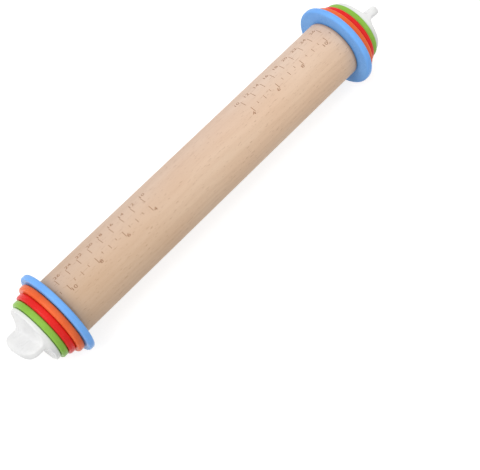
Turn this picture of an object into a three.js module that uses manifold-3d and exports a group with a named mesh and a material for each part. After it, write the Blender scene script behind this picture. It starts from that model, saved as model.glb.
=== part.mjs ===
// Adjustable rolling pin: a beech barrel with a stack of four screw-clamped discs at each end.
// The discs' rims run on the worktop and hold the barrel above it by the thickness of the dough.
//
// Millimetres, +Z up. The barrel lies along X with its middle at the origin.
// An end set is built pointing along +X, with x = 0 on the barrel's end face.

import * as THREE from "three";
import { mergeVertices } from "three/addons/utils/BufferGeometryUtils.js";
import Module from "manifold-3d";

const wasm = await Module();
wasm.setup();

// Barrel: a plain turned rod.
const barrelLength = 275;
const barrelDiameter = 45.5;
const barrelEdgeChamfer = 0.8;

// Discs, from the barrel outwards. Each stands out from the barrel by the dough that it gives.
const doughThickness = { blue: 10, orange: 6, red: 3, green: 1.5 };
const discThickness = 4.9;
const discRimRadius = 1.6;

// Gap that separate pieces keep, and the gap round anything that slides or turns.
const seatGap = 0.3;
const runningGap = 0.3;

// Coarse trapezoidal screw that clamps an end set to the barrel.
const threadDiameter = 16;
const threadPitch = 4;
const threadDepth = 2;
const threadLength = 16;
const threadCrestShare = 0.37;
const threadFlankDegrees = 15;
const threadTipChamfer = 1.6;

// Socket that holds the screw, let into the end of the barrel.
const socketDiameter = 22;
const socketLength = 20;
const socketCollarDiameter = 28;
const socketCollarThickness = 2;
const socketMouthChamfer = 1;
const screwEndRoom = 4;

// Knob: a round flange that rises into a flat grip fin with a beaded outer edge.
const flangeDiameter = 44.4;
const flangeThickness = 3.4;
const flangeEdgeRadius = 0.9;
const knobLength = 20;
const finWidth = 43.4;
const finNeckThickness = 6;
const finNeckHeight = 7.8;
const finBeadThickness = 7.4;
const finCornerRadius = 10.5;
const finCornerPower = 2.6;
const finCornerShare = 0.98;
const finBeadEndDegrees = 74;

// How the spindle is held in the knob: a round seat, then a blade that the fin is moulded through.
const spindleSeatDepth = 2.6;
const bladeThickness = 3;
const bladeWidth = 15;
const bladeLength = 9;
const bladeHoleDiameter = 5;

// How far each fin is turned about the barrel's axis when the knobs are tight.
const rightFinDegrees = -67;
const leftFinDegrees = 42;

// Facets.
const roundFacets = 32;
const screwFacets = 16;
const cornerSteps = 2;
const sectionPoints = 32;

const colours = {
  beech: 0xd9ba9f,
  blue: 0x6fa8f0,
  orange: 0xf2753c,
  red: 0xe0362f,
  green: 0x8fc14f,
  white: 0xf1f1ef,
  steel: 0xb9bcc0,
  brass: 0xc7a35a,
};

// What follows from the sizes above.
const barrelRadius = barrelDiameter / 2;
const threadRadius = threadDiameter / 2;
const discNames = Object.keys(doughThickness);
const discPitch = discThickness + seatGap;
const flangeFace = seatGap + discNames.length * discPitch;
const overrun = seatGap;

/** A closed geometry as a solid for joining and cutting. */
function solid(geometry) {
  const bare = geometry.clone();
  bare.deleteAttribute("normal");
  bare.deleteAttribute("uv");
  const merged = mergeVertices(bare);
  return new wasm.Manifold(
    new wasm.Mesh({
      numProp: 3,
      vertProperties: merged.getAttribute("position").array,
      triVerts: Uint32Array.from(merged.index.array),
    }),
  );
}

/** A joined or cut solid as a geometry with flat facets. */
function geometryOf(body) {
  const mesh = body.getMesh();
  const geometry = new THREE.BufferGeometry();
  geometry.setAttribute("position", new THREE.BufferAttribute(mesh.vertProperties, 3));
  geometry.setIndex(new THREE.BufferAttribute(mesh.triVerts, 1));
  const flat = geometry.toNonIndexed();
  flat.computeVertexNormals();
  return flat;
}

/** Turns an outline of [x, radius] points about the X axis. The radius is that of its flats. */
function turned(outline, facets = roundFacets) {
  const halfFacet = Math.PI / facets;
  const points = outline.map(([x, radius]) => new THREE.Vector2(radius / Math.cos(halfFacet), x));
  return new THREE.LatheGeometry(points, facets, halfFacet).rotateZ(-Math.PI / 2);
}

/** A plain bar about the X axis, from one x to another. */
function bar(from, to, radius, facets = roundFacets) {
  return turned([[from, 0], [from, radius], [to, radius], [to, 0]], facets);
}

/** Points of a quarter arc in [x, radius], about a centre, between two angles in quarter turns. */
function arc(x, radius, size, fromQuarter, toQuarter) {
  const points = [];
  for (let step = 0; step <= cornerSteps; step += 1) {
    const angle = (fromQuarter + ((toQuarter - fromQuarter) * step) / cornerSteps) * (Math.PI / 2);
    points.push([x + size * Math.cos(angle), radius + size * Math.sin(angle)]);
  }
  return points;
}

/** The screw's ridge: a trapezoid swept along a right-hand helix, grown all round by a clearance. */
function threadRidge(from, to, clearance) {
  const crest = threadRadius + clearance;
  const root = threadRadius - threadDepth + clearance - overrun;
  const halfCrest = (threadPitch * threadCrestShare) / 2 + clearance;
  const halfRoot = halfCrest + (crest - root) * Math.tan(THREE.MathUtils.degToRad(threadFlankDegrees));
  const section = [[halfRoot, root], [halfCrest, crest], [-halfCrest, crest], [-halfRoot, root]];
  const firstStep = Math.floor(((from - threadPitch) / threadPitch) * screwFacets);
  const lastStep = Math.ceil(((to + threadPitch) / threadPitch) * screwFacets);
  const vertices = [];
  for (let step = firstStep; step <= lastStep; step += 1) {
    const turn = (step / screwFacets) * 2 * Math.PI;
    for (const [x, radius] of section) {
      vertices.push(
        x + (step / screwFacets) * threadPitch,
        radius * Math.cos(turn),
        radius * Math.sin(turn),
      );
    }
  }
  return ringLoft(vertices, section.length);
}

/** A closed skin over rings of equal length, with a flat fan over the first ring and the last. */
function ringLoft(vertices, ringLength) {
  const rings = vertices.length / 3 / ringLength;
  const faces = [];
  for (let ring = 0; ring < rings - 1; ring += 1) {
    for (let k = 0; k < ringLength; k += 1) {
      const a = ring * ringLength + k;
      const b = ring * ringLength + ((k + 1) % ringLength);
      faces.push(a, b, a + ringLength, b, b + ringLength, a + ringLength);
    }
  }
  const last = (rings - 1) * ringLength;
  for (let k = 1; k < ringLength - 1; k += 1) {
    faces.push(0, k + 1, k, last, last + k, last + k + 1);
  }
  const geometry = new THREE.BufferGeometry();
  geometry.setAttribute("position", new THREE.Float32BufferAttribute(vertices, 3));
  geometry.setIndex(faces);
  return geometry;
}

/** The screw between two x, with its clearance: the core with the ridge on it. */
function screw(from, to, clearance) {
  const core = solid(bar(from, to, threadRadius - threadDepth + clearance, screwFacets));
  const sleeve = solid(bar(from, to, threadRadius + clearance + overrun, screwFacets));
  return core.add(solid(threadRidge(from, to, clearance)).intersect(sleeve));
}

/** Beech rod with a stepped blind bore for a socket in each end. */
function barrel() {
  const half = barrelLength / 2;
  const edge = barrelRadius - barrelEdgeChamfer;
  const rod = solid(
    turned([
      [-half, 0],
      [-half, edge],
      [-half + barrelEdgeChamfer, barrelRadius],
      [half - barrelEdgeChamfer, barrelRadius],
      [half, edge],
      [half, 0],
    ]),
  );
  const boreRadius = socketDiameter / 2 + seatGap;
  const boreDepth = Math.max(socketLength, threadLength) + screwEndRoom;
  const collarRadius = socketCollarDiameter / 2 + seatGap;
  const collarDepth = socketCollarThickness + seatGap;
  let body = rod;
  for (const side of [1, -1]) {
    const bore = turned([
      [half - boreDepth, 0],
      [half - boreDepth, boreRadius],
      [half - collarDepth, boreRadius],
      [half - collarDepth, collarRadius],
      [half + overrun, collarRadius],
      [half + overrun, 0],
    ]);
    body = body.subtract(solid(side > 0 ? bore : bore.rotateZ(Math.PI)));
  }
  return geometryOf(body);
}

/** Collared bush with the female thread right through it, flush with the end of the barrel. */
function socket() {
  const radius = socketDiameter / 2;
  const collarRadius = socketCollarDiameter / 2;
  const bush = solid(
    turned([
      [-socketLength, 0],
      [-socketLength, radius - socketMouthChamfer],
      [-socketLength + socketMouthChamfer, radius],
      [-socketCollarThickness, radius],
      [-socketCollarThickness, collarRadius],
      [0, collarRadius],
      [0, 0],
    ]),
  );
  const mouthRadius = threadRadius + runningGap;
  const mouth = turned([
    [-socketMouthChamfer - threadDepth, 0],
    [-socketMouthChamfer - threadDepth, mouthRadius - threadDepth],
    [-socketMouthChamfer, mouthRadius],
    [overrun, mouthRadius],
    [overrun, 0],
  ]);
  const bore = screw(-socketLength - overrun, overrun, runningGap);
  return geometryOf(bush.subtract(bore).subtract(solid(mouth)));
}

/**
 * Moulded disc with a rounded rim and a plain bore for the spindle. Where it stands out far enough
 * from the barrel, the flat shoulder round the barrel is divided from the part against its end.
 */
function disc(name) {
  const bore = threadRadius + runningGap;
  const rim = barrelRadius + doughThickness[name] - discRimRadius;
  const barrelSide = barrelRadius + seatGap;
  const shoulder = rim > barrelSide + seatGap ? [[0, barrelSide]] : [];
  return turned([
    [0, bore],
    ...shoulder,
    ...arc(discRimRadius, rim, discRimRadius, 2, 1),
    ...arc(discThickness - discRimRadius, rim, discRimRadius, 1, 0),
    [discThickness, bore],
    [0, bore],
  ]);
}

/** Flat blade, or the slot for it, lying in the plane of the fin. */
function blade(gap) {
  const from = flangeFace + spindleSeatDepth - overrun;
  const to = flangeFace + spindleSeatDepth + bladeLength + gap;
  const box = new THREE.BoxGeometry(to - from, bladeWidth + 2 * gap, bladeThickness + 2 * gap);
  return box.translate((from + to) / 2, 0, 0);
}

/** Round hole through the blade, or the moulded plug that fills it. */
function bladeHole(radius, length) {
  const x = flangeFace + spindleSeatDepth + bladeLength / 2;
  return new THREE.CylinderGeometry(radius, radius, length, screwFacets)
    .rotateX(Math.PI / 2)
    .translate(x, 0, 0);
}

/** Spindle: the screw, the journal that the discs sit on, and the blade inside the knob. */
function spindle(finDegrees) {
  const tip = -threadLength;
  const seatEnd = flangeFace + spindleSeatDepth - seatGap;
  const tipRadius = threadRadius - threadTipChamfer;
  const envelope = turned(
    [
      [tip, 0],
      [tip, tipRadius],
      [tip + threadTipChamfer, threadRadius + overrun],
      [seatGap + overrun, threadRadius + overrun],
      [seatGap + overrun, 0],
    ],
    screwFacets,
  );
  const thread = screw(tip - overrun, seatGap + overrun, 0).intersect(solid(envelope));
  const journal = solid(bar(seatGap, seatEnd, threadRadius));
  const hole = solid(bladeHole(bladeHoleDiameter / 2, bladeThickness + 2 * overrun));
  const tang = solid(blade(0)).subtract(hole);
  const turnedTang = tang.rotate([finDegrees, 0, 0]);
  return geometryOf(thread.add(journal).add(turnedTang));
}

/** Height of the middle of the bead, from which its arc ends at the top of the knob. */
function finBeadCentre() {
  const rise = Math.sin(THREE.MathUtils.degToRad(finBeadEndDegrees));
  return knobLength - (finBeadThickness / 2) * rise;
}

/** Half width and half thickness of the knob at a height above the flange's inner face. */
function knobSection(height) {
  const flangeRadius = flangeDiameter / 2;
  const shoulder = flangeThickness - flangeEdgeRadius;
  const beadRadius = finBeadThickness / 2;
  const beadCentre = finBeadCentre();
  const neck = finNeckThickness / 2;
  const halfChord = (depth) => Math.sqrt(Math.max(0, flangeEdgeRadius ** 2 - depth ** 2));
  const rounding = (depth) => flangeEdgeRadius - halfChord(depth);
  if (height < flangeEdgeRadius) {
    const radius = flangeRadius - rounding(flangeEdgeRadius - height);
    return [radius, radius];
  }
  if (height <= shoulder) return [flangeRadius, flangeRadius];
  const sink = flangeRadius - finWidth / 2;
  const rise = Math.min(1, (height - shoulder) / flangeEdgeRadius);
  const cornerRise = Math.max(0, (height - knobLength + finCornerRadius) / finCornerRadius);
  const corner = (1 - (cornerRise * finCornerShare) ** finCornerPower) ** (1 / finCornerPower);
  const halfWidth = (flangeRadius - sink * rise) * corner;
  if (height <= flangeThickness) return [halfWidth, flangeRadius - rounding(height - shoulder)];
  if (height < finNeckHeight) {
    const shareLeft = (finNeckHeight - height) / (finNeckHeight - flangeThickness);
    const flare = 1 - Math.sqrt(Math.max(0, 1 - shareLeft ** 2));
    return [halfWidth, neck + (flangeRadius - flangeEdgeRadius - neck) * flare];
  }
  if (height < beadCentre) {
    const share = (height - finNeckHeight) / (beadCentre - finNeckHeight);
    return [halfWidth, neck + ((beadRadius - neck) * (1 - Math.cos(Math.PI * share))) / 2];
  }
  return [halfWidth, Math.sqrt(Math.max(0, beadRadius ** 2 - (height - beadCentre) ** 2))];
}

/** Heights at which the knob's sections are taken, closer together where the shape turns. */
function knobHeights() {
  const heights = [];
  const beadRadius = finBeadThickness / 2;
  const beadCentre = finBeadCentre();
  const flareSteps = 7;
  const beadSteps = 3;
  const tipSteps = 5;
  const quarter = (step, steps) => (step / steps) * (Math.PI / 2);
  for (let step = 0; step <= cornerSteps; step += 1) {
    heights.push(flangeEdgeRadius * (1 - Math.cos(quarter(step, cornerSteps))));
  }
  for (let step = 0; step <= cornerSteps; step += 1) {
    heights.push(flangeThickness - flangeEdgeRadius * (1 - Math.sin(quarter(step, cornerSteps))));
  }
  for (let step = 1; step <= flareSteps; step += 1) {
    const rise = 1 - Math.cos(quarter(step, flareSteps));
    heights.push(flangeThickness + (finNeckHeight - flangeThickness) * rise);
  }
  for (let step = 1; step <= beadSteps; step += 1) {
    heights.push(finNeckHeight + ((beadCentre - finNeckHeight) * step) / beadSteps);
  }
  for (let step = 1; step <= tipSteps; step += 1) {
    const angle = THREE.MathUtils.degToRad((finBeadEndDegrees * step) / tipSteps);
    heights.push(beadCentre + beadRadius * Math.sin(angle));
  }
  return heights;
}

/** Knob body: slot-shaped sections, round at the flange and slim at the fin. */
function knobBody() {
  const vertices = [];
  for (const height of knobHeights()) {
    const [halfWidth, halfThickness] = knobSection(height);
    const end = Math.min(halfThickness, halfWidth);
    for (let k = 0; k < sectionPoints; k += 1) {
      const angle = ((k + 1 / 2) / sectionPoints) * 2 * Math.PI;
      const side = Math.sign(Math.cos(angle));
      vertices.push(
        flangeFace + height,
        side * (halfWidth - end) + end * Math.cos(angle),
        halfThickness * Math.sin(angle),
      );
    }
  }
  return ringLoft(vertices, sectionPoints);
}

/** White moulded knob with the seat and slot for the spindle in its inner face. */
function knob(finDegrees) {
  const seat = bar(
    flangeFace - overrun,
    flangeFace + spindleSeatDepth,
    threadRadius + seatGap,
  );
  const plugRadius = bladeHoleDiameter / 2 - seatGap;
  const plug = solid(bladeHole(plugRadius, bladeThickness + 2 * (seatGap + overrun)));
  const body = solid(knobBody()).subtract(solid(seat)).subtract(solid(blade(seatGap))).add(plug);
  return geometryOf(body.rotate([finDegrees, 0, 0]));
}

/** A named piece in its own finish. */
function piece(name, geometry, color, roughness, metalness = 0) {
  const material = new THREE.MeshStandardMaterial({ color, roughness, metalness });
  const mesh = new THREE.Mesh(geometry, material);
  mesh.name = name;
  return mesh;
}

/** Everything that one end of the barrel carries, pointing along +X from the end face. */
function endSet(side, finDegrees) {
  const end = new THREE.Group();
  end.add(piece(`${side}_socket`, socket(), colours.brass, 0.35, 1));
  end.add(piece(`${side}_spindle`, spindle(finDegrees), colours.steel, 0.3, 1));
  discNames.forEach((name, place) => {
    const ring = piece(`${side}_${name}_disc`, disc(name), colours[name], 0.38);
    ring.position.x = seatGap + place * discPitch;
    end.add(ring);
  });
  end.add(piece(`${side}_knob`, knob(finDegrees), colours.white, 0.4));
  end.position.x = barrelLength / 2;
  return end;
}

const rollingPin = new THREE.Group();
rollingPin.add(piece("barrel", barrel(), colours.beech, 0.6));
rollingPin.add(endSet("right", rightFinDegrees));

const leftEnd = new THREE.Group();
leftEnd.add(endSet("left", leftFinDegrees));
leftEnd.rotation.z = Math.PI;
rollingPin.add(leftEnd);

export default rollingPin;
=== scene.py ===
import math

import bmesh
import bpy
from mathutils import Matrix, Vector


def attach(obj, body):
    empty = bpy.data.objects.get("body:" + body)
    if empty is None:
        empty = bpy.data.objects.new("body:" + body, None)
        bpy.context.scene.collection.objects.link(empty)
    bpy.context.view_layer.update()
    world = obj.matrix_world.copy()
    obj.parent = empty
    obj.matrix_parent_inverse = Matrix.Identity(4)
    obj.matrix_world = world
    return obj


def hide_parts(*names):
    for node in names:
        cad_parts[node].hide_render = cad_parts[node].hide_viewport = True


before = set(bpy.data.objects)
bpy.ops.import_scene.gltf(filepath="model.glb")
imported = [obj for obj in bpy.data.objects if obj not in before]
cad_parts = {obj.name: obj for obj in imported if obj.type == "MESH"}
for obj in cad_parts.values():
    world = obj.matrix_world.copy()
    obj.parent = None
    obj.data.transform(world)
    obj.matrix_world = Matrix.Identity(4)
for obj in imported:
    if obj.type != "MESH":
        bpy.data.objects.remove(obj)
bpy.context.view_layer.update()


# Barrel: one straight rod of pale beech, turned, sanded smooth and oiled. Each end is bored in two
# steps, and the brass socket for the knob's screw is pressed and glued into it.
mm = 0.001
barrel_half = 137.5 * mm
barrel_radius = 22.75 * mm
socket_radius = 11 * mm
collar_radius = 14 * mm
collar_thickness = 2 * mm
bore_gap = 0.3 * mm
bore_depth = 24 * mm
end_rounding = 1.2 * mm
worn_reach = 3 * mm
weld_distance = 0.001 * mm
circle_tolerance = 0.01 * mm


def spun(outline, closed, steps):
    """A bmesh of an outline of (x, radius) points, spun once round the X axis."""
    bm = bmesh.new()
    bm.verts.layers.float.new("wear")
    verts = [bm.verts.new((x, 0, radius)) for x, radius in outline]
    pairs = list(zip(verts, verts[1:]))
    if closed:
        pairs.append((verts[-1], verts[0]))
    edges = [bm.edges.new(pair) for pair in pairs]
    bmesh.ops.spin(
        bm, geom=verts + edges, axis=(1, 0, 0), cent=(0, 0, 0),
        angle=2 * math.pi, steps=steps, use_merge=True,
    )
    bmesh.ops.remove_doubles(bm, verts=bm.verts, dist=weld_distance)
    bmesh.ops.recalc_face_normals(bm, faces=bm.faces)
    return bm


def circle_edges(bm, x, radius):
    """The edges of the circle of that radius round the X axis at x."""
    def on_it(v):
        off = math.hypot(v.co.y, v.co.z) - radius
        return abs(v.co.x - x) < circle_tolerance and abs(off) < circle_tolerance
    return [e for e in bm.edges if on_it(e.verts[0]) and on_it(e.verts[1])]


def round_edges(bm, edges, size, segments=3):
    """Rounds these edges, and marks the rounded faces as the ones that wear first, which on the rod's ends
    also take painted shade.
    """
    made = bmesh.ops.bevel(
        bm, geom=edges, offset=size, segments=segments, profile=0.5, affect="EDGES", material=-1,
    )
    layer = bm.verts.layers.float["wear"]
    for v in made["verts"]:
        v[layer] = 1


def piece(name, bm, material, body, nodes, sharp_degrees=32):
    """The bmesh as a finished piece that rides on a body and stands for CAD nodes."""
    limit = math.radians(sharp_degrees)
    for face in bm.faces:
        face.smooth = True
    for edge in bm.edges:
        if len(edge.link_faces) == 2:
            edge.smooth = edge.calc_face_angle(0) < limit
    mesh = bpy.data.meshes.new(name)
    bm.to_mesh(mesh)
    bm.free()
    mesh.materials.append(material)
    made = bpy.data.objects.new(name, mesh)
    bpy.context.scene.collection.objects.link(made)
    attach(made, body)
    if nodes:
        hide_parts(*nodes)


def srgb(red, green, blue):
    """A colour read off a screen, 0 to 255, as Blender's linear one."""
    def linear(value):
        value /= 255
        return value / 12.92 if value <= 0.04045 else ((value + 0.055) / 1.055) ** 2.4
    return (linear(red), linear(green), linear(blue), 1)


class Nodes:
    """Adds nodes to one tree. A setting is a value, or the output socket that it is linked to."""

    def __init__(self, tree):
        self.tree = tree

    def add(self, kind, props=None, **settings):
        """A new node. Its inputs are named as Blender names them, or i0, i1 and so on by place."""
        node = self.tree.nodes.new(kind)
        for name, value in (props or {}).items():
            setattr(node, name, value)
        for key, value in settings.items():
            by_place = key[0] == "i" and key[1:].isdigit()
            socket = node.inputs[int(key[1:]) if by_place else key.replace("_", " ")]
            if isinstance(value, bpy.types.NodeSocket):
                self.tree.links.new(value, socket)
            else:
                socket.default_value = value
        return node

    def math(self, operation, a, b=0.0):
        return self.add("ShaderNodeMath", {"operation": operation}, i0=a, i1=b).outputs[0]

    def ramp(self, value, low, high, to_low=0.0, to_high=1.0):
        """The value's run from low to high, eased over another run and held at its ends."""
        return self.add(
            "ShaderNodeMapRange", {"interpolation_type": "SMOOTHSTEP"},
            Value=value, From_Min=low, From_Max=high, To_Min=to_low, To_Max=to_high,
        ).outputs["Result"]

    def mix(self, factor, a, b, blend="MIX"):
        """Two colours mixed."""
        props = {"data_type": "RGBA", "blend_type": blend}
        return self.add("ShaderNodeMix", props, i0=factor, i6=a, i7=b).outputs[2]

    def noise(self, vector, scale, detail=3.0, roughness=0.5):
        node = self.add("ShaderNodeTexNoise", Vector=vector, Scale=scale, Detail=detail, Roughness=roughness)
        return node.outputs["Fac"]

    def stretched(self, vector, x, y, z):
        """Coordinates squeezed or spread along the three axes."""
        return self.add("ShaderNodeMapping", Vector=vector, Scale=(x, y, z)).outputs["Vector"]


def new_group(name, inputs, outputs):
    """An empty node group with named sockets, and the nodes to build it with."""
    tree = bpy.data.node_groups.new(name, "ShaderNodeTree")
    for direction, sockets in (("INPUT", inputs), ("OUTPUT", outputs)):
        for label, kind in sockets.items():
            tree.interface.new_socket(name=label, in_out=direction, socket_type="NodeSocket" + kind)
    return tree, Nodes(tree), tree.nodes.new("NodeGroupInput"), tree.nodes.new("NodeGroupOutput")


def new_material(name):
    """An empty node material: its nodes, its Principled shader and its object coordinates."""
    material = bpy.data.materials.new(name)
    material.use_nodes = True
    nodes = Nodes(material.node_tree)
    shader = material.node_tree.nodes["Principled BSDF"]
    where = nodes.add("ShaderNodeTexCoord").outputs["Object"]
    return material, nodes, shader, where


def link(nodes, source, target):
    nodes.tree.links.new(source, target)


# Grain of a beech rod whose pith lies outside it: faint growth rings, long silky streaks, short dark
# flecks along the rod, and fine open pores. The rings are a sine of the distance from the pith, one
# about every 3.3 mm, and wander along the rod.
pith_to_axis = (0, 14 * mm, 87 * mm)
ring_radians_per_metre = 1900.0
ring_wander = 22.0

grain_tree, grain, grain_in, grain_out = new_group(
    "beech_grain", {"Vector": "Vector"},
    {"Rings": "Float", "Streaks": "Float", "Flecks": "Float", "Pores": "Float", "Patches": "Float"},
)
along = grain_in.outputs["Vector"]
pith = grain.add("ShaderNodeMapping", Vector=along, Location=pith_to_axis).outputs["Vector"]
wander = grain.noise(grain.stretched(along, 11, 32, 32), 1.0, 3.0)
split = grain.add("ShaderNodeSeparateXYZ", Vector=pith)
from_pith = grain.math(
    "SQRT",
    grain.math(
        "ADD",
        grain.math("POWER", split.outputs["Y"], 2.0),
        grain.math("POWER", split.outputs["Z"], 2.0),
    ),
)
ring_angle = grain.math(
    "ADD",
    grain.math("MULTIPLY", from_pith, ring_radians_per_metre),
    grain.math("MULTIPLY", wander, ring_wander),
)
rings = grain.math("MULTIPLY", grain.math("ADD", grain.math("SINE", ring_angle), 1.0), 0.5)
link(grain, rings, grain_out.inputs["Rings"])
link(grain, grain.noise(grain.stretched(along, 26, 900, 900), 1.0, 4.0, 0.6), grain_out.inputs["Streaks"])
fleck_noise = grain.noise(grain.stretched(along, 230, 1400, 1400), 1.0, 2.0, 0.5)
link(grain, grain.ramp(fleck_noise, 0.62, 0.72), grain_out.inputs["Flecks"])
pore_noise = grain.noise(grain.stretched(along, 700, 6000, 6000), 1.0, 1.0, 0.4)
link(grain, grain.ramp(pore_noise, 0.60, 0.74), grain_out.inputs["Pores"])
link(grain, grain.noise(grain.stretched(along, 14, 40, 40), 1.0, 2.0, 0.5), grain_out.inputs["Patches"])

# The wood's tones: each pair runs from the deeper left end to the paler right one. The casts from the
# front of the rod to its back are painted light: a warm painted shade on the shaded front and a cool
# painted sheen on the lit back.
pale_from = -160 * mm
pale_to = 70 * mm
painted_light_reach = 22 * mm
relief_depth = 0.05 * mm
heartwood = (srgb(212, 180, 152), srgb(228, 196, 171))
sapwood = (srgb(216, 186, 161), srgb(230, 202, 179))
painted_warm_shade = (1.0, 0.988, 0.932, 1)
painted_cool_sheen = (0.969, 1.0, 1.059, 1)
ring_tone, ring_strength = srgb(199, 160, 129), 0.12
streak_tone, streak_strength = srgb(192, 152, 119), 0.14
fleck_tone, fleck_strength = srgb(165, 120, 89), 0.40
pore_tone, pore_strength = srgb(154, 112, 85), 0.12
wear_and_crevice_shade_tone, wear_and_crevice_shade_strength = srgb(150, 110, 84), 0.6

beech, nodes, shader, where = new_material("oiled_beech")
figure = nodes.add("ShaderNodeGroup", {"node_tree": grain_tree}, Vector=where)
axes = nodes.add("ShaderNodeSeparateXYZ", Vector=where)
drift = nodes.ramp(axes.outputs["X"], pale_from, pale_to)
heart = nodes.mix(drift, *heartwood)
sap = nodes.mix(drift, *sapwood)
wood = nodes.mix(nodes.ramp(figure.outputs["Patches"], 0.3, 0.7), sap, heart)
wood = nodes.mix(nodes.math("MULTIPLY", figure.outputs["Rings"], ring_strength), wood, ring_tone)
wood = nodes.mix(nodes.ramp(figure.outputs["Streaks"], 0.45, 0.8, 0.0, streak_strength), wood, streak_tone)
wood = nodes.mix(nodes.math("MULTIPLY", figure.outputs["Flecks"], fleck_strength), wood, fleck_tone)
wood = nodes.mix(nodes.math("MULTIPLY", figure.outputs["Pores"], pore_strength), wood, pore_tone)
# Painted light: the rod's front is tinted as warm shade and its back as a cool, pale sheen.
painted_light_tint = nodes.mix(nodes.ramp(axes.outputs["Y"], -painted_light_reach, painted_light_reach), painted_warm_shade, painted_cool_sheen)
wood = nodes.mix(1.0, wood, painted_light_tint, "MULTIPLY")
# The rod's rounded end edges are darkened: partly real handling wear, partly painted shade in the crevice
# where the rod's end meets the largest disc.
worn = nodes.add("ShaderNodeAttribute", {"attribute_name": "wear"}).outputs["Fac"]
wood = nodes.mix(nodes.math("MULTIPLY", worn, wear_and_crevice_shade_strength), wood, wear_and_crevice_shade_tone)
link(nodes, wood, shader.inputs["Base Color"])
link(nodes, nodes.ramp(figure.outputs["Streaks"], 0.3, 0.7, 0.50, 0.62), shader.inputs["Roughness"])
shader.inputs["Specular IOR Level"].default_value = 0.28
relief = nodes.math(
    "SUBTRACT",
    nodes.math("MULTIPLY", figure.outputs["Streaks"], 0.35),
    nodes.math("ADD", figure.outputs["Pores"], nodes.math("MULTIPLY", figure.outputs["Flecks"], 0.5)),
)
bump = nodes.add("ShaderNodeBump", Height=relief, Strength=0.35, Distance=relief_depth)
link(nodes, bump.outputs["Normal"], shader.inputs["Normal"])

# One end of the rod, from the floor of its bore out to its side. The wear mark, which on the rod is real wear
# and painted shade both, fades along each long face as far as its next circle, so the circles at worn_reach
# from the edge keep it there.
end_step = [
    (barrel_half - bore_depth, 0),
    (barrel_half - bore_depth, socket_radius + bore_gap),
    (barrel_half - collar_thickness - bore_gap, socket_radius + bore_gap),
    (barrel_half - collar_thickness - bore_gap, collar_radius + bore_gap),
    (barrel_half, collar_radius + bore_gap),
    (barrel_half, barrel_radius - worn_reach),
    (barrel_half, barrel_radius),
    (barrel_half - worn_reach, barrel_radius),
]
barrel_outline = [(-x, radius) for x, radius in end_step] + end_step[::-1]
rod = spun(barrel_outline, closed=False, steps=192)
for end in (-barrel_half, barrel_half):
    round_edges(rod, circle_edges(rod, end, barrel_radius), end_rounding, 5)
piece("beech_rod", rod, beech, "barrel", ["barrel"])


# Scales: centimetre and quarter-inch marks with plain numbers, burnt into the barrel along its top.
# They count outwards from the middle on both sides, so like marks span that width of dough. Places
# round the barrel are in degrees, 90 at its top and fewer towards its back.
char_depth = 0.05 * mm
char_stand = 0.015 * mm
char_relief = 0.03 * mm
centimetre = 10 * mm
quarter_inch = 6.35 * mm
mark_width = 0.35 * mm
long_mark_width = 0.40 * mm
digit_inset = 0.6 * mm
digit_stretch = 1.5

# Lines are given from end to end, and digits from foot to head.
centimetre_line = (62.0, 75.5)
centimetre_digits = (61.6, 55.4)
inch_line_foot = 85.3
inch_line_heads = {"inch": 97.0, "half": 93.6, "quarter": 90.2}
inch_digits = (100.4, 94.2)
slant_degrees_per_metre = 19.0

burnt, nodes, shader, where = new_material("burnt_marks")
scorch = nodes.noise(where, 1800.0, 3.0, 0.6)
soot = nodes.noise(nodes.stretched(where, 300, 2500, 2500), 1.0, 2.0)
brown = nodes.mix(nodes.ramp(scorch, 0.35, 0.7), srgb(140, 96, 66), srgb(176, 130, 96))
brown = nodes.mix(nodes.ramp(soot, 0.5, 0.75, 0.0, 0.45), brown, srgb(110, 72, 48))
link(nodes, brown, shader.inputs["Base Color"])
link(nodes, nodes.ramp(scorch, 0.3, 0.7, 0.62, 0.8), shader.inputs["Roughness"])
bump = nodes.add("ShaderNodeBump", Height=scorch, Strength=0.4, Distance=char_relief)
link(nodes, bump.outputs["Normal"], shader.inputs["Normal"])


def mark_line(bm, x, degrees_from, degrees_to, width):
    """A short line across the rod's top, laid out flat: x along the rod, y in degrees round it."""
    made = bmesh.ops.create_grid(bm, x_segments=1, y_segments=6, size=0.5)
    middle = (degrees_from + degrees_to) / 2
    bmesh.ops.scale(bm, verts=made["verts"], vec=(width, degrees_to - degrees_from, 1))
    bmesh.ops.translate(bm, verts=made["verts"], vec=(x, middle, 0))


def mark_number(bm, number, x_edge, inward, degrees_foot, degrees_head):
    """A number laid out flat beside a line, its outer edge at x_edge and its foot and head in degrees."""
    curve = bpy.data.curves.new("number", "FONT")
    curve.body = str(number)
    curve.resolution_u = 6
    holder = bpy.data.objects.new("number", curve)
    bpy.context.scene.collection.objects.link(holder)
    bpy.context.view_layer.update()
    flat = bpy.data.meshes.new_from_object(holder.evaluated_get(bpy.context.evaluated_depsgraph_get()))
    bpy.data.objects.remove(holder)
    bpy.data.curves.remove(curve)
    before = set(bm.verts)
    bm.from_mesh(flat)
    bpy.data.meshes.remove(flat)
    letters = [v for v in bm.verts if v not in before]
    low_x, high_x = min(v.co.x for v in letters), max(v.co.x for v in letters)
    low_y, high_y = min(v.co.y for v in letters), max(v.co.y for v in letters)
    height = math.radians(abs(degrees_head - degrees_foot)) * barrel_radius
    size = height / (high_y - low_y) * digit_stretch
    turn = (degrees_head - degrees_foot) / (high_y - low_y)
    edge = low_x if inward > 0 else high_x
    for v in letters:
        v.co.x = x_edge + (v.co.x - edge) * size
        v.co.y = degrees_foot + (v.co.y - low_y) * turn


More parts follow.
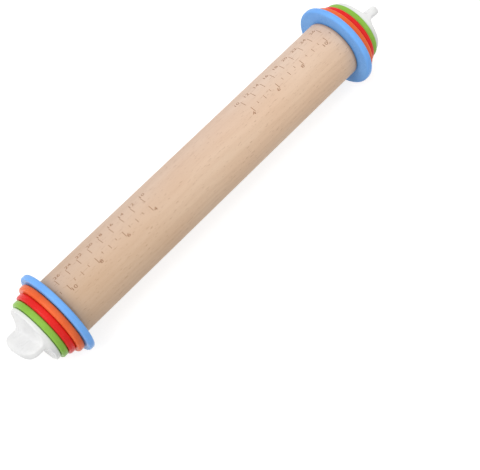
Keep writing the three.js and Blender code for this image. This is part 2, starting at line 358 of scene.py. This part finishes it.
def burn_in(bm, name):
    """Bends the flat marks round the rod and sinks them into it."""
    bm.normal_update()
    bmesh.ops.reverse_faces(bm, faces=[f for f in bm.faces if f.normal.z < 0])
    lowest = int(min(v.co.y for v in bm.verts))
    highest = int(max(v.co.y for v in bm.verts)) + 1
    for cut in range(lowest, highest):
        bmesh.ops.bisect_plane(
            bm, geom=bm.verts[:] + bm.edges[:] + bm.faces[:], plane_co=(0, cut, 0), plane_no=(0, 1, 0),
        )
    bmesh.ops.solidify(bm, geom=bm.faces[:], thickness=char_depth + char_stand)
    top = max(v.co.z for v in bm.verts)
    for v in bm.verts:
        radius = barrel_radius + char_stand + (v.co.z - top)
        angle = math.radians(v.co.y - slant_degrees_per_metre * v.co.x)
        v.co = (v.co.x, radius * math.cos(angle), radius * math.sin(angle))
    bmesh.ops.recalc_face_normals(bm, faces=bm.faces)
    piece(name, bm, burnt, "barrel", [], sharp_degrees=20)


centimetre_marks = bmesh.new()
for count in range(5, 14):
    for way in (-1, 1):
        x = way * count * centimetre
        mark_line(centimetre_marks, x, *centimetre_line, mark_width)
        mark_number(centimetre_marks, 2 * count, x - way * digit_inset, -way, *centimetre_digits)
burn_in(centimetre_marks, "centimetre_marks")

inch_marks = bmesh.new()
for count in range(8, 22):
    for way in (-1, 1):
        x = way * count * quarter_inch
        if count % 4 == 0:
            mark_line(inch_marks, x, inch_line_foot, inch_line_heads["inch"], long_mark_width)
            mark_number(inch_marks, count // 2, x - way * digit_inset, -way, *inch_digits)
        elif count % 2 == 0:
            mark_line(inch_marks, x, inch_line_foot, inch_line_heads["half"], mark_width)
        else:
            mark_line(inch_marks, x, inch_line_foot, inch_line_heads["quarter"], mark_width)
burn_in(inch_marks, "inch_marks")


# Sockets: turned brass bushes with a collar, flush with the barrel's ends, threaded right through.
# Each end set is made pointing along +X from the barrel's end face, then put at its own end.
socket_length = 20 * mm
collar_rounding = 0.3 * mm
mouth_rounding = 0.4 * mm
thread_pitch = 4 * mm
thread_radius = 8 * mm
thread_depth = 2 * mm
thread_gap = 0.3 * mm
inner_thread_from = -socket_length + 1.2 * mm
inner_thread_to = -3 * mm
inner_ridge_sink = 0.2 * mm
inner_ridge_half_root = 0.95 * mm
inner_ridge_half_crest = 0.42 * mm
lathe_depth = 0.02 * mm
ends = {
    "right": Matrix.Translation((barrel_half, 0, 0)),
    "left": Matrix.Rotation(math.pi, 4, "Z") @ Matrix.Translation((barrel_half, 0, 0)),
}

turning_tree, turning, turning_in, turning_out = new_group(
    "turned_metal", {"Vector": "Vector", "Wear": "Float"},
    {"Tint": "Float", "Roughness": "Float", "Height": "Float"},
)
spot = turning_in.outputs["Vector"]
feed = turning.add("ShaderNodeTexWave", {"bands_direction": "X"}, Vector=spot, Scale=1400.0, Distortion=0.6)
smear = turning.noise(turning.stretched(spot, 900, 120, 120), 1.0, 3.0)
fingers = turning.noise(spot, 130.0, 3.0, 0.6)
link(turning, turning.ramp(fingers, 0.4, 0.7), turning_out.inputs["Tint"])
rubbed = turning.math("MULTIPLY", turning_in.outputs["Wear"], -0.10)
matt = turning.math("ADD", turning.ramp(fingers, 0.3, 0.8, 0.24, 0.42), rubbed)
link(turning, matt, turning_out.inputs["Roughness"])
lathe_lines = turning.math("ADD", feed.outputs["Fac"], turning.math("MULTIPLY", smear, 0.8))
link(turning, lathe_lines, turning_out.inputs["Height"])


def turned_metal(name, clean, dull):
    """A bare turned metal: lathe lines round the X axis, dull patches, edges rubbed bright."""
    material, nodes, shader, where = new_material(name)
    worn = nodes.add("ShaderNodeAttribute", {"attribute_name": "wear"}).outputs["Fac"]
    skin = nodes.add("ShaderNodeGroup", {"node_tree": turning_tree}, Vector=where, Wear=worn)
    link(nodes, nodes.mix(skin.outputs["Tint"], clean, dull), shader.inputs["Base Color"])
    link(nodes, skin.outputs["Roughness"], shader.inputs["Roughness"])
    shader.inputs["Metallic"].default_value = 1.0
    bump = nodes.add("ShaderNodeBump", Height=skin.outputs["Height"], Strength=0.2, Distance=lathe_depth)
    link(nodes, bump.outputs["Normal"], shader.inputs["Normal"])
    return material


def helix(bm, start, stop, root, crest, half_root, half_crest, phase):
    """Adds a right-hand screw ridge of four-sided section along X, and gives back its vertices."""
    steps_per_turn = 48
    first = math.floor((start - phase) / thread_pitch * steps_per_turn)
    steps = math.ceil((stop - phase) / thread_pitch * steps_per_turn) - first
    x = phase + first / steps_per_turn * thread_pitch
    angle = first / steps_per_turn * 2 * math.pi
    section = [(-half_root, root), (-half_crest, crest), (half_crest, crest), (half_root, root)]
    verts = [bm.verts.new((x + dx, 0, radius)) for dx, radius in section]
    edges = [bm.edges.new((a, b)) for a, b in zip(verts, verts[1:] + verts[:1])]
    bmesh.ops.rotate(bm, verts=verts, cent=(0, 0, 0), matrix=Matrix.Rotation(angle - math.pi / 2, 3, "X"))
    cap = bm.faces.new(verts)
    made = bmesh.ops.spin(
        bm, geom=verts + edges, axis=(1, 0, 0), cent=(0, 0, 0), dvec=(thread_pitch / steps_per_turn, 0, 0),
        angle=steps / steps_per_turn * 2 * math.pi, steps=steps, use_merge=False,
    )
    tail = [g for g in made["geom_last"] if isinstance(g, bmesh.types.BMVert)]
    bm.faces.new(tail)
    shell = {cap}
    grow = [cap]
    while grow:
        for edge in grow.pop().edges:
            for face in edge.link_faces:
                if face not in shell:
                    shell.add(face)
                    grow.append(face)
    bmesh.ops.recalc_face_normals(bm, faces=list(shell))
    return {v for face in shell for v in face.verts}


brass = turned_metal("turned_brass", srgb(206, 170, 104), srgb(176, 138, 78))
for side, place in ends.items():
    bush = spun(
        [
            (-socket_length, thread_radius + thread_gap),
            (-socket_length, socket_radius),
            (-collar_thickness, socket_radius),
            (-collar_thickness, collar_radius),
            (0, collar_radius),
            (0, thread_radius + thread_gap),
        ],
        closed=True, steps=96,
    )
    round_edges(bush, circle_edges(bush, 0, collar_radius), collar_rounding)
    round_edges(bush, circle_edges(bush, 0, thread_radius + thread_gap), mouth_rounding, 2)
    helix(
        bush, inner_thread_from, inner_thread_to,
        thread_radius + thread_gap + inner_ridge_sink, thread_radius - thread_depth + thread_gap,
        inner_ridge_half_root, inner_ridge_half_crest, phase=thread_pitch / 2,
    )
    bmesh.ops.transform(bush, matrix=place, verts=bush.verts)
    piece(f"{side}_brass_bush", bush, brass, "barrel", [f"{side}_socket"])


# Spindles: turned steel, a coarse screw that clamps the stack and a plain journal that the discs sit
# on. The flat blade at the outer end is moulded into the knob.
disc_thickness = 4.9 * mm
seat_gap = 0.3 * mm
disc_names = ["blue", "orange", "red", "green"]
disc_pitch = disc_thickness + seat_gap
flange_face = seat_gap + len(disc_names) * disc_pitch
screw_length = 16 * mm
screw_core = thread_radius - thread_depth
screw_run_out = 0.5 * mm
tip_rounding = 0.5 * mm
journal_rounding = 0.4 * mm
ridge_root = screw_core - 0.3 * mm
ridge_tip = screw_core - 0.2 * mm
ridge_half_root = 1.35 * mm
ridge_half_crest = 0.74 * mm
seat_depth = 2.6 * mm
seat_floor = flange_face + seat_depth
tang_from = seat_floor - 2 * seat_gap
tang_to = seat_floor + 9 * mm
tang_width = 15 * mm
tang_thickness = 3 * mm
fin_degrees = {"right": -67, "left": 42}

steel = turned_metal("turned_steel", srgb(198, 200, 203), srgb(170, 172, 176))
for side, place in ends.items():
    shaft = spun(
        [
            (-screw_length, 0),
            (-screw_length, screw_core),
            (seat_gap, screw_core),
            (seat_gap, thread_radius),
            (seat_floor - seat_gap, thread_radius),
            (seat_floor - seat_gap, 0),
        ],
        closed=False, steps=96,
    )
    round_edges(shaft, circle_edges(shaft, -screw_length, screw_core), tip_rounding)
    round_edges(shaft, circle_edges(shaft, seat_gap, thread_radius), journal_rounding)
    ridge = helix(
        shaft, -screw_length - screw_run_out, 0, ridge_root, thread_radius,
        ridge_half_root, ridge_half_crest, phase=0,
    )
    # The thread is cut off square at the screw's tip, and turned down to a 45 degree cone there.
    for v in ridge:
        radius = math.hypot(v.co.y, v.co.z)
        room = max(ridge_root, ridge_tip + v.co.x + screw_length)
        v.co.x = max(v.co.x, -screw_length)
        if radius > room:
            v.co.y *= room / radius
            v.co.z *= room / radius
    tang = bmesh.ops.create_cube(shaft, size=1)["verts"]
    bmesh.ops.scale(shaft, verts=tang, vec=(tang_to - tang_from, tang_width, tang_thickness))
    bmesh.ops.translate(shaft, verts=tang, vec=((tang_from + tang_to) / 2, 0, 0))
    fin_turn = Matrix.Rotation(math.radians(fin_degrees[side]), 4, "X")
    bmesh.ops.transform(shaft, matrix=place @ fin_turn, verts=shaft.verts)
    piece(f"{side}_steel_screw", shaft, steel, f"{side}_knob", [f"{side}_spindle"])


# Discs: four plain moulded rings at each end, one for each thickness of dough, the largest against
# the barrel. They lie loose on the journal and are clamped by the knob.
disc_radius = {"blue": 32.75 * mm, "orange": 28.75 * mm, "red": 25.75 * mm, "green": 24.25 * mm}
disc_play = 0.3 * mm
disc_bore = thread_radius + disc_play
rim_rounding = 1.5 * mm
bore_rounding = 0.4 * mm
skin_depth = 0.015 * mm
glow_through = 0.6 * mm

# The clamped stack closes up: the outer faces of these discs all but touch the next ones.
pressed_discs = ("orange", "red")
pressed_on = 0.24 * mm

moulding_tree, moulding, moulding_in, moulding_out = new_group(
    "moulded_plastic", {"Vector": "Vector", "Wear": "Float"},
    {"Clouds": "Float", "Scuffs": "Float", "Dust": "Float", "Roughness": "Float", "Height": "Float"},
)
spot = moulding_in.outputs["Vector"]
link(moulding, moulding.noise(spot, 55.0, 3.0, 0.5), moulding_out.inputs["Clouds"])
scratches = moulding.noise(moulding.stretched(spot, 3200, 1100, 1100), 1.0, 2.0, 0.6)
scuffed = moulding.math("MULTIPLY", moulding.ramp(scratches, 0.50, 0.70), moulding_in.outputs["Wear"])
link(moulding, scuffed, moulding_out.inputs["Scuffs"])
specks = moulding.ramp(moulding.noise(spot, 1500.0, 2.0, 0.5), 0.68, 0.78)
link(moulding, specks, moulding_out.inputs["Dust"])
handled = moulding.ramp(moulding.noise(spot, 90.0, 3.0, 0.6), 0.35, 0.7, 0.26, 0.36)
link(
    moulding, moulding.math("ADD", handled, moulding.math("MULTIPLY", scuffed, 0.20)),
    moulding_out.inputs["Roughness"],
)
skin = moulding.math("ADD", moulding.noise(spot, 1400.0, 2.0, 0.5), moulding.math("MULTIPLY", scuffed, -0.3))
link(moulding, skin, moulding_out.inputs["Height"])


def moulded_plastic(name, colour, deep, pale, shine):
    """Satin moulded plastic: faint clouds in the colour, scuffed edges, a few pale specks of flour."""
    material, nodes, shader, where = new_material(name)
    worn = nodes.add("ShaderNodeAttribute", {"attribute_name": "wear"}).outputs["Fac"]
    skin = nodes.add("ShaderNodeGroup", {"node_tree": moulding_tree}, Vector=where, Wear=worn)
    tone = nodes.mix(nodes.ramp(skin.outputs["Clouds"], 0.35, 0.68), colour, deep)
    tone = nodes.mix(nodes.math("MULTIPLY", skin.outputs["Scuffs"], 0.12), tone, pale)
    tone = nodes.mix(nodes.math("MULTIPLY", skin.outputs["Dust"], 0.07), tone, pale)
    link(nodes, tone, shader.inputs["Base Color"])
    link(nodes, skin.outputs["Roughness"], shader.inputs["Roughness"])
    shader.inputs["IOR"].default_value = 1.49
    shader.inputs["Specular IOR Level"].default_value = shine
    shader.inputs["Subsurface Weight"].default_value = 0.08
    shader.inputs["Subsurface Radius"].default_value = (glow_through, glow_through, glow_through)
    bump = nodes.add("ShaderNodeBump", Height=skin.outputs["Height"], Strength=0.08, Distance=skin_depth)
    link(nodes, bump.outputs["Normal"], shader.inputs["Normal"])
    return material


disc_shine = 0.12
disc_colours = {
    "blue": (srgb(122, 182, 251), srgb(116, 176, 248), srgb(176, 208, 250)),
    "orange": (srgb(245, 112, 60), srgb(239, 102, 50), srgb(255, 170, 130)),
    "red": (srgb(235, 44, 42), srgb(225, 38, 36), srgb(246, 120, 110)),
    "green": (srgb(146, 196, 77), srgb(136, 188, 67), srgb(196, 224, 150)),
}
disc_finish = {
    colour: moulded_plastic(f"{colour}_plastic", *tones, disc_shine) for colour, tones in disc_colours.items()
}
for side, place in ends.items():
    for position, colour in enumerate(disc_names):
        inner = seat_gap + position * disc_pitch
        outer = inner + disc_thickness
        radius = disc_radius[colour]
        if colour in pressed_discs:
            outer += pressed_on
        ring = spun(
            [
                (inner, disc_bore), (inner, radius - worn_reach), (inner, radius),
                (outer, radius), (outer, radius - worn_reach), (outer, disc_bore),
            ],
            closed=True, steps=160,
        )
        for x in (inner, outer):
            round_edges(ring, circle_edges(ring, x, radius), rim_rounding, 6)
            round_edges(ring, circle_edges(ring, x, disc_bore), bore_rounding, 2)
        bmesh.ops.transform(ring, matrix=place, verts=ring.verts)
        name = f"{side}_{colour}_disc"
        piece(f"{side}_{colour}_ring", ring, disc_finish[colour], name, [name])


# Knobs: one white moulding each, a round flange that presses on the stack and rises in a broad
# hollow sweep into a flat fin for the fingers, with a bead along the fin's outer edge.
flange_radius = 22.2 * mm
flange_thickness = 3.4 * mm
flange_edge = 0.9 * mm
knob_length = 20 * mm
fin_half_width = 21.7 * mm
fin_neck = 3 * mm
fin_neck_height = 7.8 * mm
side_blend = 2.5 * mm
bead_radius = 3.7 * mm
bead_centre = knob_length - bead_radius
corner_radius = 10.5 * mm
corner_power = 2.6
corner_share = 0.985
round_power = 2.0
fin_power = 4.2
seat_radius = thread_radius + seat_gap
level_tolerance = 0.0001 * mm
knob_shine = 0.24
edge_wear = 0.8
face_wear = 0.15

knob_white = moulded_plastic(
    "white_plastic", srgb(238, 238, 237), srgb(232, 232, 232), srgb(250, 250, 250), knob_shine,
)


def knob_section(height):
    """Half width, half thickness and power of the knob's section at a height above its inner face.

    A section is round at a power of 2, and squarer above it.
    """
    if height < flange_edge:
        radius = flange_radius - flange_edge + math.sqrt(flange_edge**2 - (flange_edge - height) ** 2)
        return radius, radius, round_power
    shoulder = flange_thickness - flange_edge
    if height <= shoulder:
        return flange_radius, flange_radius, round_power
    rise = min(1, (height - shoulder) / side_blend)
    rise = rise * rise * (3 - 2 * rise)
    corner_rise = min(1, max(0, (height - knob_length + corner_radius) / corner_radius))
    corner = (1 - (corner_share * corner_rise) ** corner_power) ** (1 / corner_power)
    half_width = (flange_radius + (fin_half_width - flange_radius) * rise) * corner
    if height <= flange_thickness:
        drop = flange_edge - math.sqrt(max(0, flange_edge**2 - (height - shoulder) ** 2))
        return half_width, flange_radius - drop, round_power
    if height < fin_neck_height:
        left = (fin_neck_height - height) / (fin_neck_height - flange_thickness)
        flare = 1 - math.sqrt(max(0, 1 - left * left))
        half = fin_neck + (flange_radius - flange_edge - fin_neck) * flare
        return half_width, half, round_power + (fin_power - round_power) * (1 - flare)
    if height < bead_centre:
        share = (height - fin_neck_height) / (bead_centre - fin_neck_height)
        swell = (1 - math.cos(math.pi * share)) / 2
        return half_width, fin_neck + (bead_radius - fin_neck) * swell, fin_power
    return half_width, math.sqrt(max(0, bead_radius**2 - (height - bead_centre) ** 2)), fin_power


def quarter_steps(start, stop, steps, slow_start):
    """Places from start to stop, closer together where an arc turns."""
    for step in range(1, steps + 1):
        angle = math.pi / 2 * step / steps
        share = 1 - math.cos(angle) if slow_start else math.sin(angle)
        yield start + (stop - start) * share


# Heights of the knob's loops above its inner face.
heights = [0.0]
heights += quarter_steps(0, flange_edge, 4, True)
heights += [flange_edge + (flange_thickness - 2 * flange_edge) * share for share in (0.5, 1.0)]
heights += quarter_steps(flange_thickness - flange_edge, flange_thickness, 5, False)
heights += quarter_steps(flange_thickness, fin_neck_height, 22, True)
heights += [fin_neck_height + (bead_centre - fin_neck_height) * step / 8 for step in range(1, 9)]
heights += quarter_steps(bead_centre, knob_length, 14, False)

# Each knob grows from the floor of its seat out to its inner face, and then by one loop a height.
for side, place in ends.items():
    grip = bmesh.new()
    wear = grip.verts.layers.float.new("wear")
    turn = grip.verts.layers.float.new("turn")
    seat_place = Matrix.Translation((seat_floor, 0, 0)) @ Matrix.Rotation(math.pi / 2, 4, "Y")
    start = bmesh.ops.create_circle(grip, cap_ends=True, radius=seat_radius, segments=128, matrix=seat_place)
    for v in start["verts"]:
        v[turn] = math.atan2(v.co.z, v.co.y)
    made = bmesh.ops.extrude_edge_only(grip, edges=grip.edges[:])["geom"]
    for v in (g for g in made if isinstance(g, bmesh.types.BMVert)):
        v.co.x = flange_face
    loop = [g for g in made if isinstance(g, bmesh.types.BMEdge)]
    for height in heights:
        half_width, half_thickness, power = knob_section(height)
        made = bmesh.ops.extrude_edge_only(grip, edges=loop)["geom"]
        for v in (g for g in made if isinstance(g, bmesh.types.BMVert)):
            across, thick = math.cos(v[turn]), math.sin(v[turn])
            v.co = (
                flange_face + height,
                math.copysign(abs(across) ** (2 / power), across) * half_width,
                math.copysign(abs(thick) ** (2 / power), thick) * half_thickness,
            )
            v[wear] = edge_wear if height < flange_thickness or height > bead_centre else face_wear
        level = flange_face + height
        loop = [
            g for g in made
            if isinstance(g, bmesh.types.BMEdge)
            and all(abs(v.co.x - level) < level_tolerance for v in g.verts)
        ]
    bmesh.ops.remove_doubles(grip, verts=grip.verts, dist=2 * weld_distance)
    bmesh.ops.recalc_face_normals(grip, faces=grip.faces)
    fin_turn = Matrix.Rotation(math.radians(fin_degrees[side]), 4, "X")
    bmesh.ops.transform(grip, matrix=place @ fin_turn, verts=grip.verts)
    piece(f"{side}_fin_knob", grip, knob_white, f"{side}_knob", [f"{side}_knob"])


# Worktop: a plain white floor under the rims of the largest discs. It is seen as white, and keeps the
# soft shadow that the pin throws on it.
floor_reach = 4000 * mm
floor_glow = 0.7

floor_mesh = bpy.data.meshes.new("worktop")
floor_bm = bmesh.new()
bmesh.ops.create_grid(floor_bm, x_segments=1, y_segments=1, size=floor_reach)
bmesh.ops.translate(floor_bm, verts=floor_bm.verts, vec=(0, 0, -disc_radius["blue"]))
floor_bm.to_mesh(floor_mesh)
floor_bm.free()
worktop = bpy.data.objects.new("worktop", floor_mesh)
bpy.context.scene.collection.objects.link(worktop)


def seen(nodes):
    """1 for rays that show a thing, straight, mirrored or through glass, and 0 for those that light it."""
    path = nodes.add("ShaderNodeLightPath")
    return nodes.math(
        "MAXIMUM", path.outputs["Is Camera Ray"],
        nodes.math("MAXIMUM", path.outputs["Is Glossy Ray"], path.outputs["Is Transmission Ray"]),
    )


surface, nodes, shader, where = new_material("white_worktop")
tone = nodes.mix(nodes.ramp(nodes.noise(where, 6.0, 2.0), 0.3, 0.7), srgb(196, 196, 196), srgb(190, 190, 190))
link(nodes, tone, shader.inputs["Base Color"])
shader.inputs["Roughness"].default_value = 0.8
shader.inputs["Specular IOR Level"].default_value = 0.2
glow_strength = nodes.math("MULTIPLY", seen(nodes), floor_glow)
glow = nodes.add("ShaderNodeEmission", Color=(1, 1, 1, 1), Strength=glow_strength)
both = nodes.add("ShaderNodeAddShader", i0=shader.outputs[0], i1=glow.outputs[0])
link(nodes, both.outputs[0], nodes.tree.nodes["Material Output"].inputs["Surface"])
floor_mesh.materials.append(surface)


# Light: a white room all round, one broad soft lamp from behind and to the left of the pin, because the
# far side of the barrel is the lighter one in the photograph, and a weak white card before its right
# end, which lifts the shaded side there.
room_light = 0.66
room_seen = 1.0
window_energy = 1.4
window_degrees = 42
window_direction = Vector((0.45, -0.20, -0.87))
card_energy = 0.17
card_side = 400 * mm
card_place = Vector((360, -360, 320)) * mm
card_target = Vector((120, 0, 0)) * mm

room = bpy.data.worlds.new("white_room")
bpy.context.scene.world = room
room.use_nodes = True
nodes = Nodes(room.node_tree)
backdrop = room.node_tree.nodes["Background"]
backdrop.inputs["Color"].default_value = (1, 1, 1, 1)
link(nodes, nodes.ramp(seen(nodes), 0.0, 1.0, room_light, room_seen), backdrop.inputs["Strength"])


def aim(made, direction):
    """Turns a lamp or camera to look along a direction, and puts it in the scene."""
    made.rotation_euler = direction.to_track_quat("-Z", "Y").to_euler()
    bpy.context.scene.collection.objects.link(made)


window_data = bpy.data.lights.new("soft_window", "SUN")
window_data.energy = window_energy
window_data.angle = math.radians(window_degrees)
aim(bpy.data.objects.new("soft_window", window_data), window_direction)

card_data = bpy.data.lights.new("white_card", "AREA")
card_data.shape = "SQUARE"
card_data.size = card_side
card_data.energy = card_energy
card = bpy.data.objects.new("white_card", card_data)
card.location = card_place
card.visible_camera = False
card.visible_glossy = False
aim(card, card_target - card_place)


# Camera: a long lens, level, looking down on the pin from in front of its left end. Its place and
# direction were fitted to the scale marks, edges and ends of the barrel in the photograph.
lens_millimetres = 93.75
film_millimetres = 36
camera_place = Vector((-271.92, -284.28, 772.97)) * mm
camera_direction = Vector((0.3003, 0.276, -0.9131))

camera_data = bpy.data.cameras.new("camera")
camera_data.lens = lens_millimetres
camera_data.sensor_width = film_millimetres
camera_data.clip_start = 50 * mm
camera_data.clip_end = 20000 * mm
camera = bpy.data.objects.new("camera", camera_data)
camera.location = camera_place
aim(camera, camera_direction)
bpy.context.scene.camera = camera
bpy.context.scene.view_settings.view_transform = "Standard"
